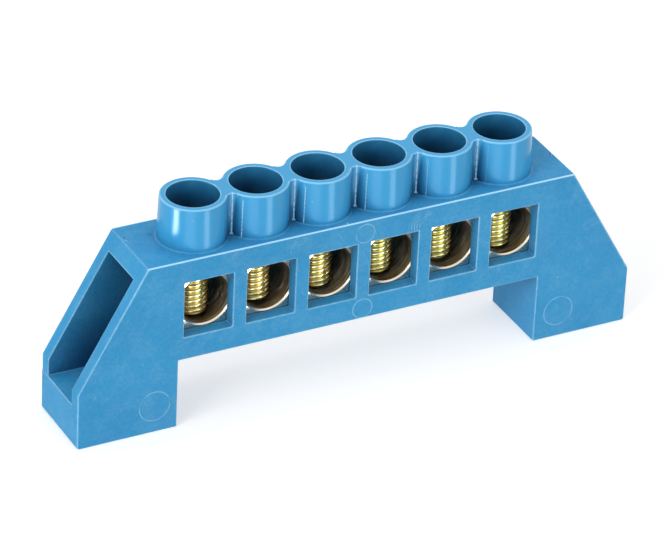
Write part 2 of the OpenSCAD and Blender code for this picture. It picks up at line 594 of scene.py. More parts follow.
class Dust(Effect):
    """Scattered specks."""

    def __init__(self) -> None:
        """Builds the group."""
        super().__init__("dust", {"Place": ORIGIN, "Spacing": 2.0, "Size": 0.1, "Share": 0.3}, "Speck")
        sheet, spacing = self.sheet, self.into["Spacing"]
        wander = sheet.scaled(sheet.noise(self.into["Place"], 3.0, 2.0), 0.35)
        place = sheet.vector("ADD", self.into["Place"], wander)
        density = sheet.math("DIVIDE", 1.0, spacing)
        cells = sheet.add("ShaderNodeTexVoronoi", {"Vector": place, "Scale": density}).outputs
        pick = sheet.add("ShaderNodeSeparateColor", {"Color": cells["Color"]}).outputs
        reach = sheet.product(self.into["Size"], pick["Green"])
        spot = sheet.band(sheet.product(cells["Distance"], spacing), reach, sheet.product(reach, 0.5))
        chosen = sheet.math("LESS_THAN", pick["Red"], self.into["Share"])
        sheet.feed(self.out["Speck"], sheet.product(spot, chosen))


class ToolRings(RoundMark):
    """Concentric cutter marks, strongest on their upper left."""

    def __init__(self) -> None:
        """Builds the group."""
        sizes = {"Pitch": 0.4, "Inner": 0.5, "Outer": 2.0, "Strength": 1.0}
        super().__init__("tool_rings", {"Place": ORIGIN, "Centre": ORIGIN, **sizes}, "Height")
        sheet, inner, outer = self.sheet, self.into["Inner"], self.into["Outer"]
        flat, radius, near = self.measure()
        turns = sheet.math("DIVIDE", sheet.product(radius, 2 * math.pi), self.into["Pitch"])
        wave = sheet.band(sheet.math("SINE", turns), 0.0, 1.0)
        start = sheet.band(radius, inner, sheet.math("ADD", inner, 0.2))
        end = sheet.band(radius, outer, sheet.math("SUBTRACT", outer, 0.6))
        broken = sheet.band(sheet.noise(self.into["Place"], 0.9, 2.0), 0.38, 0.54)
        lean = sheet.dot(sheet.vector("NORMALIZE", flat), (-0.7, 0.0, 0.7))
        leaning = sheet.band(lean, -0.1, 0.6, 0.12, 1.0)
        rings = sheet.product(start, end, broken, leaning, near, self.into["Strength"], wave)
        sheet.feed(self.out["Height"], rings)


@dataclass
class Effects:
    """The shared effects, each built once."""

    edge_wear_and_highlight: EdgeWearAndHighlight = field(default_factory=EdgeWearAndHighlight)
    hollow: Hollow = field(default_factory=lambda: Hollow("own_hollow", True))
    nest: Hollow = field(default_factory=lambda: Hollow("nest", False))
    scuffs: Scuffs = field(default_factory=Scuffs)
    ejector_mark: EjectorMark = field(default_factory=EjectorMark)
    grain: Grain = field(default_factory=Grain)
    dust: Dust = field(default_factory=Dust)
    tool_rings: ToolRings = field(default_factory=ToolRings)


# ---------------------------------------------------------------- finishes


@dataclass(frozen=True)
class MouldingFinish:
    """Blue moulded plastic: satin flanks, polished towers, dust and marks from the mould, with painted shade
    in hollows, a painted sheen on the towers and painted highlights on edges, rims, webs and marks.
    """

    colour: Colour = (0.026, 0.287, 0.562, 1.0)
    shade: Colour = (0.022, 0.262, 0.530, 1.0)
    # tower: a lighter copy of the blue, a painted sheen for the polished towers
    tower: Colour = (0.050, 0.355, 0.665, 1.0)
    # deep: the colour of the painted shade in hollows
    deep: Colour = (0.0005, 0.022, 0.090, 1.0)
    pale: Colour = (0.46, 0.76, 0.96, 1.0)
    speck: Colour = (0.60, 0.80, 0.92, 1.0)
    stain: Colour = (0.010, 0.10, 0.22, 1.0)
    satin: float = 0.52
    polished: float = 0.19
    specular: float = 0.22
    cutter_pitch: float = 0.42
    cutter_inner: float = 0.4
    polish_height: float = 26.5
    rim_height: float = 32.3
    deck: float = 26.4
    flank_y: float = 5.95
    pitch: float = 9.5
    web_highlight_at: Point2 = (0.27, -2.05)
    web_highlight_end: Point2 = (21.0, 20.5)
    shoulder_angle: float = 43.0
    shoulder_line: Point2 = (0.10, 0.03)
    shoulder_side: Point2 = (-2.3, -2.6)
    shoulder_start: Point2 = (-20.0, -19.5)
    shoulder_fade: Point2 = (-8.0, 22.0)
    ejectors: tuple[tuple[Point3, float], ...] = (
        ((-31.6, -6.0, 4.2), 2.3), ((32.0, -6.0, 4.2), 2.3), ((0.0, -6.0, 24.4), 1.45),
        ((0.1, -6.0, 12.3), 1.5),
    )
    smudges: tuple[tuple[Point3, float], ...] = (
        ((-28.9, 2.4, 26.4), 0.75), ((-31.4, 0.6, 26.4), 0.4), ((29.9, -1.7, 26.4), 0.4),
    )
    tool_rings: tuple[tuple[Point3, float, float], ...] = (
        ((-19.0, -6.0, 25.2), 2.0, 0.7), ((-9.7, -6.0, 24.5), 2.1, 0.8), ((0.05, -6.0, 24.6), 2.6, 0.3),
        ((9.0, -6.0, 23.6), 2.5, 1.2), ((14.5, -6.0, 23.2), 1.9, 0.5), ((18.65, -6.0, 23.9), 1.3, 0.8),
        ((-31.6, -6.0, 4.2), 2.3, 0.5),
    )

    def material(self, effects: Effects) -> bpy.types.Material:
        """Builds the material.

        Args:
            effects: The shared effects.

        Returns:
            The material.
        """
        sheet = PieceSheet("blue_moulding")
        grain = sheet.mark(effects.grain, Fineness=2.6, Spread=0.12)
        wear_and_highlight = sheet.mark(effects.edge_wear_and_highlight, Reach=0.00028, Breakup=0.25)
        speck = sheet.mark(effects.dust, Spacing=2.6, Size=0.16, Share=0.22)["Speck"]
        scuffs = sheet.mark(effects.scuffs, Amount=1.0)
        hollow = effects.hollow.place(sheet, {"Reach": 0.011, "Open": 0.72, "Closed": 0.25})["Depth"]
        height = sheet.axes["Z"]
        upward = sheet.parts(sheet.add("ShaderNodeNewGeometry").outputs["Normal"])["Z"]
        polish = sheet.band(height, self.polish_height, self.polish_height + 0.25)

        tone = sheet.tint(sheet.band(grain["Tone"], 0.3, 0.7), self.colour, self.shade)
        mottle = sheet.product(sheet.band(grain["Height"], 0.30, 0.80), 0.07)
        tone = sheet.tint(sheet.math("MULTIPLY_ADD", scuffs["Patch"], 0.03, mottle), tone, self.pale)
        # Painted sheen: the towers take a lighter copy of the blue to stand for their brighter lighting.
        tone = sheet.tint(polish, tone, self.tower)
        # Painted shade: hollows are darkened towards the deep colour by ambient occlusion, more among the
        # towers and less where a place faces up.
        near_towers = sheet.math("MULTIPLY_ADD", polish, 0.35, 1.0)
        depth = sheet.math("MULTIPLY", hollow, near_towers, clamp=True)
        shelter = sheet.band(upward, 0.5, 0.9, 0.95, 0.45)
        tone = sheet.tint(sheet.product(depth, shelter), tone, self.deep)
        tone = sheet.tint(sheet.product(self.stains(sheet), 0.45), tone, self.stain)
        flank = sheet.size_band(sheet.axes["Y"], self.flank_y - 0.1, self.flank_y)
        scratch = sheet.product(scuffs["Scratch"], sheet.math("SUBTRACT", 1.0, polish), flank)
        tone = sheet.tint(sheet.product(scratch, 0.20), tone, self.pale)
        marks: Wire = 0.0
        relief = sheet.product(grain["Height"], sheet.band(polish, 0.0, 1.0, 0.8, 0.06))
        for centre, radius in self.ejectors:
            mark = sheet.mark(effects.ejector_mark, Centre=centre, Radius=radius)
            marks = sheet.math("ADD", marks, mark["Ring"])
            relief = sheet.math("MULTIPLY_ADD", mark["Height"], 1.2, relief)
        cutter = {"Pitch": self.cutter_pitch, "Inner": self.cutter_inner}
        for centre, outer, strength in self.tool_rings:
            rings = sheet.mark(effects.tool_rings, Centre=centre, Outer=outer, Strength=strength, **cutter)
            relief = sheet.math("MULTIPLY_ADD", rings["Height"], 1.6, relief)
            marks = sheet.math("MULTIPLY_ADD", rings["Height"], 0.55, marks)
        # The pale tint along the ejector and cutter rings is a painted highlight on real marks, strongest on
        # the cutter rings' upper left.
        tone = sheet.tint(sheet.math("MULTIPLY", marks, 0.48, clamp=True), tone, self.pale)
        # Painted highlights: pale lines on the open edges outside hollows and off the towers' walls, on the
        # towers' rims, on the deck's long edges and on the webs.
        outward = sheet.math("MULTIPLY_ADD", hollow, -2.5, 1.0, clamp=True)
        above_deck = sheet.band(height, self.deck + 0.01, self.deck + 0.03)
        below_rim = sheet.band(height, self.rim_height + 0.3, self.rim_height + 0.1)
        smooth_wall = sheet.product(above_deck, below_rim)
        line = sheet.largest(
            sheet.product(wear_and_highlight["Edge"], outward, sheet.math("SUBTRACT", 1.0, smooth_wall)),
            self.rims(sheet, upward), self.lips(sheet), self.web_highlights(sheet), self.shoulder_highlights(sheet),
        )
        tone = sheet.tint(line, tone, self.pale)

        rough = sheet.band(polish, 0.0, 1.0, self.satin, self.polished)
        spread = sheet.math("MULTIPLY_ADD", grain["Tone"], 0.10, -0.05)
        relief = sheet.math("MULTIPLY_ADD", speck, 0.8, relief)
        relief = sheet.math("MULTIPLY_ADD", scratch, -0.7, relief)
        tone = sheet.tint(sheet.product(speck, 0.75), tone, self.speck)
        sheet.coat(tone, sheet.math("ADD", rough, spread), relief, 0.6, 0.00004)
        sheet.shader.inputs["Specular IOR Level"].default_value = self.specular
        return sheet.material

    def lips(self, sheet: PieceSheet) -> Socket:
        """How much painted highlight the deck's long edges get at a place."""
        near_deck = sheet.size_band(sheet.math("SUBTRACT", sheet.axes["Z"], self.deck), 0.16, 0.08)
        near_flank = sheet.size_band(sheet.axes["Y"], self.flank_y - 0.22, self.flank_y - 0.12)
        return sheet.product(near_deck, near_flank)

    def rims(self, sheet: PieceSheet, upward: Wire) -> Socket:
        """How much painted highlight the rounded rims of the towers get, where a place faces up by a share."""
        at_rim = sheet.band(sheet.axes["Z"], self.rim_height, self.rim_height + 0.2)
        return sheet.product(sheet.band(upward, 0.20, 0.50), sheet.band(upward, 0.98, 0.86), at_rim, 0.42)

    def above_foot(self, sheet: PieceSheet) -> Socket:
        """A mask of what stands above the towers' feet."""
        return sheet.band(sheet.axes["Z"], self.polish_height, self.polish_height + 0.1)

    def web_highlights(self, sheet: PieceSheet) -> Socket:
        """The fine upright painted highlight line on each web.

        Args:
            sheet: The material's nodes.

        Returns:
            How much of the line the place has.
        """
        x, y, z = sheet.axes
        along = sheet.offset_in_row(x, self.web_highlight_at[0], self.pitch)
        across = sheet.math("SUBTRACT", y, self.web_highlight_at[1])
        width = sheet.band(z, self.polish_height + 0.2, self.polish_height + 0.5, 0.26, 0.12)
        return sheet.product(
            sheet.size_band(along, width, sheet.product(width, 0.4)),
            sheet.band(sheet.noise(z, 1.3, 2.0), 0.30, 0.55, 0.45, 1.0),
            sheet.size_band(across, 0.3, 0.2), sheet.size_band(x, *self.web_highlight_end), self.above_foot(sheet),
        )

    def shoulder_highlights(self, sheet: PieceSheet) -> Socket:
        """The fine upright painted highlight line where a web's hollow side ends on the next tower.

        Args:
            sheet: The material's nodes.

        Returns:
            How much of the line the place has.
        """
        x, y, z = sheet.axes
        turn = math.radians(self.shoulder_angle)
        aside = sheet.offset_in_row(x, self.pitch / 2, self.pitch)
        off = sheet.math("SUBTRACT", sheet.product(aside, math.sin(turn)), sheet.product(y, math.cos(turn)))
        return sheet.product(
            sheet.size_band(off, *self.shoulder_line),
            sheet.band(y, *self.shoulder_side), sheet.band(aside, *self.shoulder_side),
            sheet.band(x, *self.shoulder_start), sheet.band(x, *self.shoulder_fade, 0.75, 0.12),
            sheet.band(z, self.rim_height, self.rim_height - 0.3),
            sheet.band(sheet.noise(sheet.product(z, 1.7), 1.1, 2.0), 0.30, 0.60, 0.35, 1.0),
            self.above_foot(sheet),
        )

    def stains(self, sheet: PieceSheet) -> Socket:
        """A few dark smudges on the deck.

        Args:
            sheet: The material's nodes.

        Returns:
            How dark the place is.
        """
        found: Wire = 0.0
        for centre, radius in self.smudges:
            away = sheet.vector("DISTANCE", sheet.place, centre, output="Value")
            ragged = sheet.math("MULTIPLY_ADD", sheet.noise(sheet.place, 2.4, 3.0), 1.2 * radius, away)
            found = sheet.largest(found, sheet.band(ragged, 1.3 * radius, 0.7 * radius))
        return found


@dataclass(frozen=True)
class BarFinish:
    """Pale drawn brass, darker inside its bores, where the drill left fine turning marks; with painted shade
    in the bores and on the ends, and painted highlights along the turning marks and edges.
    """

    face: Colour = (0.85, 0.74, 0.61, 1.0)
    bore: Colour = (0.72, 0.60, 0.46, 1.0)
    # line: the pale colour of the painted highlights along the turning grooves
    line: Colour = (1.0, 0.93, 0.80, 1.0)
    deep: Colour = (0.52, 0.42, 0.31, 1.0)
    end_shade: Colour = (0.040, 0.033, 0.026, 1.0)
    face_y: float = 3.58
    end_x: float = 28.95
    pitch: float = 0.38

    def material(self, effects: Effects) -> bpy.types.Material:
        """Builds the material.

        Args:
            effects: The shared effects.

        Returns:
            The material.
        """
        sheet = PieceSheet("bar_metal")
        grain = sheet.mark(effects.grain, Fineness=4.0, Spread=0.5)
        wear_and_highlight = sheet.mark(effects.edge_wear_and_highlight, Reach=0.00015, Breakup=0.5)
        nest = effects.nest.place(sheet, {"Reach": 0.006, "Open": 0.75, "Closed": 0.15})
        across = sheet.axes["Y"]
        inside = sheet.size_band(across, self.face_y, self.face_y - 0.06)
        # Painted shade: the bar's ends are painted nearly black and made rougher.
        ends = sheet.size_band(sheet.axes["X"], self.end_x - 0.08, self.end_x - 0.02)

        # The turning grooves are bump relief with a painted highlight: the pale line colour along them.
        drift = sheet.noise(sheet.vector("MULTIPLY", sheet.place, (0.25, 2.6, 0.25)), 1.0, 3.0, 0.6)
        turns = sheet.math("MULTIPLY_ADD", across, 2 * math.pi / self.pitch, sheet.product(drift, 9.0))
        groove = sheet.band(sheet.math("SINE", turns), 0.55, 1.0)
        groove = sheet.product(groove, sheet.band(drift, 0.40, 0.62, 0.15, 1.0), inside)

        # Painted shade: the bore walls darken towards the deep colour where nearby parts close them in.
        walls = sheet.tint(groove, sheet.tint(nest["Depth"], self.bore, self.deep), self.line)
        tone = sheet.tint(ends, sheet.tint(inside, self.face, walls), self.end_shade)
        # Edges lighter towards the face colour: wear and painted highlight.
        tone = sheet.tint(sheet.product(wear_and_highlight["Edge"], 0.5), tone, self.face)
        rough = sheet.math("MULTIPLY_ADD", ends, 0.30, sheet.band(inside, 0.0, 1.0, 0.19, 0.34))
        spread = sheet.math("MULTIPLY_ADD", grain["Tone"], 0.16, -0.08)
        relief = sheet.math("MULTIPLY_ADD", grain["Height"], 0.4, groove)
        sheet.coat(tone, sheet.math("ADD", rough, spread), relief, 0.7, 0.00005)
        sheet.shader.inputs["Metallic"].default_value = 1.0
        return sheet.material


@dataclass(frozen=True)
class ScrewFinish:
    """Steel with a yellow passivation that shimmers green and red, with painted shade in the thread roots and
    along the shank, and painted highlights on the crests.
    """

    gold: Colour = (0.95, 0.64, 0.10, 1.0)
    olive: Colour = (0.78, 0.74, 0.08, 1.0)
    green: Colour = (0.42, 0.60, 0.16, 1.0)
    red: Colour = (0.80, 0.40, 0.16, 1.0)
    pale: Colour = (1.0, 0.90, 0.52, 1.0)
    deep: Colour = (0.06, 0.055, 0.012, 1.0)
    lean: Point2 = (-14.0, 8.0)
    head: Point2 = (24.6, 24.9)
    spacing: float = 9.5
    crest: Point2 = (2.38, 2.48)
    head_inner: Point2 = (2.9, 2.8)

    def material(self, effects: Effects) -> bpy.types.Material:
        """Builds the material.

        Args:
            effects: The shared effects.

        Returns:
            The material.
        """
        sheet = PieceSheet("screw_metal")
        grain = sheet.mark(effects.grain, Fineness=5.0, Spread=0.33)
        wear_and_highlight = sheet.mark(effects.edge_wear_and_highlight, Reach=0.00009, Breakup=0.2)
        # Painted shade: thread roots and places closed in by nearby parts are darkened towards the deep colour
        # by ambient occlusion.
        root = effects.hollow.place(sheet, {"Reach": 0.0007, "Open": 0.80, "Closed": 0.45})
        nest = effects.nest.place(sheet, {"Reach": 0.006, "Open": 0.62, "Closed": 0.22})
        film = sheet.noise(sheet.vector("MULTIPLY", sheet.place, (1.0, 1.0, 0.8)), 0.45, 2.0, 0.6)
        # Painted shade: the whole screw is darkened a little, and the shank below the head much more, where it
        # sits in the shaded bar.
        shank_shade = sheet.band(sheet.axes["Z"], *self.head, 0.62, 0.15)
        # Painted highlight: pale crest lines on the thread, which are also smoother.
        crest_highlight = self.crests(sheet)
        tone = sheet.tint(sheet.band(sheet.axes["X"], *self.lean), self.gold, self.olive)
        for mask, colour in (
            (sheet.band(film, 0.50, 0.66, 0.0, 0.8), self.green),
            (sheet.band(film, 0.40, 0.28, 0.0, 0.8), self.red),
            (sheet.product(root["Depth"], 0.8), self.deep), (shank_shade, self.deep), (crest_highlight, self.pale),
            # Painted shade from nearby parts; pale edges from wear and painted highlight.
            (sheet.product(nest["Depth"], 0.8), self.deep), (sheet.product(wear_and_highlight["Edge"], 0.4), self.pale),
        ):
            tone = sheet.tint(mask, tone, colour)
        dull = sheet.band(crest_highlight, 0.0, 0.8, 0.24, 0.10)
        rough = sheet.math("MULTIPLY_ADD", grain["Tone"], 0.12, dull)
        sheet.coat(tone, rough, grain["Height"], 0.3, 0.00002)
        sheet.shader.inputs["Metallic"].default_value = 1.0
        return sheet.material

    def crests(self, sheet: PieceSheet) -> Socket:
        """Where the thread's crests get a painted highlight and a smoother finish.

        Args:
            sheet: The material's nodes.

        Returns:
            How strong the crest highlight is at the place.
        """
        aside = sheet.offset_in_row(sheet.axes["X"], self.spacing / 2, self.spacing)
        flat = sheet.add("ShaderNodeCombineXYZ", {"X": aside, "Y": sheet.axes["Y"]}).outputs["Vector"]
        radius = sheet.vector("LENGTH", flat, output="Value")
        return sheet.product(sheet.band(radius, *self.crest), sheet.band(radius, *self.head_inner), 0.8)


# ---------------------------------------------------------------- the pieces


@dataclass(frozen=True)
class Layout:
    """Places that the pieces share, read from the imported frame."""

    terminals: tuple[float, ...]
    tips: tuple[float, ...]
    end_x: float
    top: float
    half_width: float
    bar_low: Vector
    bar_high: Vector

    @classmethod
    def from_frame(cls) -> "Layout":
        """Reads the layout from the boxes of the CAD nodes."""
        low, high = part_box("housing")
        bar_low, bar_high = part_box("terminal_bar")
        screws = [name for name in sorted(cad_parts) if name.startswith("clamp_screw_")]
        boxes = [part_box(name) for name in screws]
        return cls(
            terminals=tuple((a.x + b.x) / 2 / MM for a, b in boxes),
            tips=tuple(a.z / MM for a, _ in boxes),
            end_x=high.x / MM,
            top=high.z / MM,
            half_width=high.y / MM,
            bar_low=bar_low / MM,
            bar_high=bar_high / MM,
        )


@dataclass
class Housing:
    """The moulded bridge with its feet, pockets, wire windows and screw towers."""

    layout: Layout
    bridge_clear: float = 10.7
    tunnel_low: float = 13.2
    tunnel_high: float = 24.1
    tunnel_half: float = 4.0
    deck: float = 26.4
    deck_x: float = 33.05
    foot_x: float = 28.15
    pocket_x: float = 30.5
    floor: float = 6.3
    step: float = 0.15
    end_z: float = 8.6
    window_w: float = 7.4
    window_low: float = 14.25
    window_high: float = 22.85
    tower_r: float = 4.65
    tower_bore_r: float = 3.72
    tower_draft: float = 2.2
    rim_r: float = 0.3
    base_fillet: float = 0.2
    root: float = 1.15
    web_t: float = 4.0
    fixing_x: float = 38.0
    fixing_r: float = 2.25
    edge: float = 0.13
    corner: float = 0.4
    lip: float = 0.1
    overrun: float = 0.5
    bore_overrun: float = 0.25
    fine_steps: int = 64
    gates: tuple[tuple[float, float, float], ...] = (
        (-32.55, 2.95, 20.0), (-32.35, 2.2, -50.0), (32.5, 0.25, 75.0),
    )

    def bridge(self) -> Workpiece:
        """The bridge and feet with tunnel, pockets and windows, edges rounded.

        Returns:
            The workpiece without towers and bores.
        """
        end = self.layout.end_x
        half = [
            (self.foot_x, self.bridge_clear), (self.foot_x, 0.0), (end, 0.0), (end, self.end_z),
            (self.deck_x, self.deck),
        ]
        outline = half + [(-x, z) for x, z in reversed(half)]
        block = Workpiece.side_prism(outline, 2 * self.layout.half_width)

        reach = end + self.overrun
        tunnel = box_outline((-self.tunnel_half, self.tunnel_low), (self.tunnel_half, self.tunnel_high))
        block.combine(Workpiece.long_prism(tunnel, -reach, reach), Combine.CUT)
        pocket = box_outline(
            (-self.tunnel_half, self.floor), (self.tunnel_half, (self.tunnel_low + self.tunnel_high) / 2)
        )
        for start, stop in ((self.pocket_x, reach), (-reach, -self.pocket_x)):
            block.combine(Workpiece.long_prism(pocket, start, stop), Combine.CUT)
        front = -self.layout.half_width
        for x in self.layout.terminals:
            window = Workpiece.cuboid(
                (x - self.window_w / 2, front - self.overrun, self.window_low),
                (x + self.window_w / 2, -self.tunnel_half + self.overrun, self.window_high),
            )
            block.combine(window, Combine.CUT)

        def at_end(edge: bmesh.types.BMEdge) -> bool:
            """Whether an edge is an upright corner of the housing."""
            corner = (end, self.layout.half_width)
            return all(abs(abs(v.co[i]) - corner[i]) < TOUCH for v in edge.verts for i in (0, 1))

        block.round_edges(self.edge, self.corner, at_end)
        for side in (-1, 1):
            low, high = sorted((side * (end - self.step), side * reach))
            strip = Workpiece.cuboid((low, 0.0, self.floor), (high, -front + self.overrun, self.deck))
            block.combine(strip, Combine.CUT)
        return block

    def slope_and_height(self) -> tuple[float, float]:
        """How much a tower widens for each unit down, and how high it is."""
        return math.tan(math.radians(self.tower_draft)), self.layout.top - self.deck

    def tower(self) -> Workpiece:
        """One tower, still solid, with a drafted wall, a rounded rim and a small fillet at its foot."""
        draft, height = self.slope_and_height()
        rim_z = height - self.rim_r
        wall_low = self.tower_r + (rim_z - self.base_fillet) * draft
        flare = self.base_fillet
        foot = arc((wall_low + flare, flare), flare, 270, 180, 5)
        rim = arc((self.tower_r - self.rim_r, rim_z), self.rim_r, 0, 90, 6)
        profile = [(0.0, -self.root), (wall_low + flare, -self.root), *foot, *rim, (0.0, height)]
        return Workpiece.lathe(profile)

    def web(self, gap: float) -> Workpiece:
        """The web between two towers, with a hollow round on each side that runs into both.

        Args:
            gap: Distance between the two towers' axes.

        Returns:
            The web, from the first tower's axis to the second's.
        """
        draft, height = self.slope_and_height()
        half, middle = self.web_t / 2, gap / 2
        sections = []
        for z in (-self.root, height):
            radius = self.tower_r + (height - max(z, 0.0)) * draft
            hollow = (middle ** 2 + half ** 2 - radius ** 2) / (2 * (radius - half))
            turn = math.degrees(math.atan2(half + hollow, middle))
            near = arc((middle, -half - hollow), hollow, 180 - turn, turn, 14)
            far = [(x, -y) for x, y in reversed(near)]
            plan = [(0.0, -half), *near, (gap, -half), (gap, half), *far, (0.0, half)]
            sections.append([(x, y, z) for x, y in plan])
        return Workpiece.loft(sections)

    def tower_row(self) -> Workpiece:
        """The towers and the webs that tie them together, rooted in the deck."""
        row = self.tower().shift(x=self.layout.terminals[0])
        for before, here in zip(self.layout.terminals, self.layout.terminals[1:]):
            row.combine(self.web(here - before).shift(x=before), Combine.JOIN)
            row.combine(self.tower().shift(x=here), Combine.JOIN)
        return row.shift(z=self.deck)

    def bore(self) -> Workpiece:
        """Cutter for one tower bore, flared at the rim."""
        top = self.layout.top
        bottom = self.tunnel_high - self.bore_overrun
        flare = arc((self.tower_bore_r + self.lip, top - self.lip), self.lip, 180, 90, 3)
        profile = [
            (0.0, bottom), (self.tower_bore_r, bottom), *flare,
            (self.tower_bore_r + self.lip, top + self.overrun), (0.0, top + self.overrun),
        ]
        return Workpiece.lathe(profile)

    def gate_remnant(self, x: float, y: float, turn: float) -> Workpiece:
        """One small torn stub that the moulding's gate left on the deck.

        Args:
            x: Its place along the housing.
            y: Its place across the housing.
            turn: Its direction in degrees.

        Returns:
            The stub, rooted in the deck.
        """
        low = [(-0.42, -0.16, -0.1), (0.30, -0.24, -0.1), (0.46, 0.12, -0.1), (-0.2, 0.22, -0.1)]
        high = [(-0.30, -0.08, 0.10), (0.16, -0.14, 0.17), (0.28, 0.04, 0.07), (-0.1, 0.10, 0.14)]
        stub = Workpiece.loft([low, high]).place(Matrix.Rotation(math.radians(turn), 4, "Z"))
        return stub.shift(x=x, y=y, z=self.deck)

    def fixing_hole(self) -> Workpiece:
        """Cutter for one fixing hole, eased at both mouths."""
        r, lip = self.fixing_r, self.lip
        profile = [
            (0.0, -self.overrun), (r + lip, -self.overrun), (r + lip, 0.0), (r, lip),
            (r, self.floor - lip), (r + lip, self.floor), (r + lip, self.floor + self.overrun),
            (0.0, self.floor + self.overrun),
        ]
        return Workpiece.lathe(profile, self.fine_steps)

    def build(self, material: bpy.types.Material) -> bpy.types.Object:
        """Makes the housing and puts it in the frame.

        Args:
            material: The moulding's material.

        Returns:
            The piece.
        """
        body = self.bridge()
        for side in (-1, 1):
            body.combine(self.fixing_hole().shift(x=side * self.fixing_x), Combine.CUT)
        body.combine(self.tower_row(), Combine.JOIN)
        for x, y, turn in self.gates:
            body.combine(self.gate_remnant(x, y, turn), Combine.JOIN)
        for x in self.layout.terminals:
            body.combine(self.bore().shift(x=x), Combine.CUT)
        piece = body.finish("housing_moulding", material)
        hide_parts("housing")
        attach(piece, Body.BASE.value)
        return piece


@dataclass
class TerminalBar:
    """The brass bar with a wire bore and a tapped hole for each terminal."""

    layout: Layout
    wire_r: float = 3.85
    wire_z: float = 5.1
    wire_shift: float = 0.4
    chamfer: float = 0.2
    tap_floor: float = 1.05
    tapped_r: float = 2.55
    edge: float = 0.12
    overrun: float = 0.5

    def build(self, material: bpy.types.Material) -> bpy.types.Object:
        """Makes the bar and puts it in the frame.

        Args:
            material: The bar's material.

        Returns:
            The piece.
        """
        low, high = self.layout.bar_low, self.layout.bar_high
        bar = Workpiece.cuboid(tuple(low), tuple(high)).round_edges(self.edge)
        half = high.y
        mouth = self.wire_r + self.chamfer
        past = half + self.overrun
        profile = [
            (0.0, -past), (mouth, -past), (mouth, -half), (self.wire_r, -half + self.chamfer),
            (self.wire_r, half - self.chamfer), (mouth, half), (mouth, past), (0.0, past),
        ]
        for x in self.layout.terminals:
            wire = Workpiece.lathe(profile).place(Matrix.Rotation(math.pi / 2, 4, "X"))
            bar.combine(wire.shift(x=x + self.wire_shift, z=low.z + self.wire_z), Combine.CUT)
            tap = [
                (0.0, low.z + self.tap_floor), (self.tapped_r, low.z + self.tap_floor),
                (self.tapped_r, high.z - self.edge), (self.tapped_r + self.edge, high.z),
                (self.tapped_r + self.edge, high.z + self.overrun), (0.0, high.z + self.overrun),
            ]
            bar.combine(Workpiece.lathe(tap, 64).shift(x=x), Combine.CUT)
        piece = bar.finish("drilled_bar", material)
        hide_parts("terminal_bar")
        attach(piece, Body.BASE.value)
        return piece


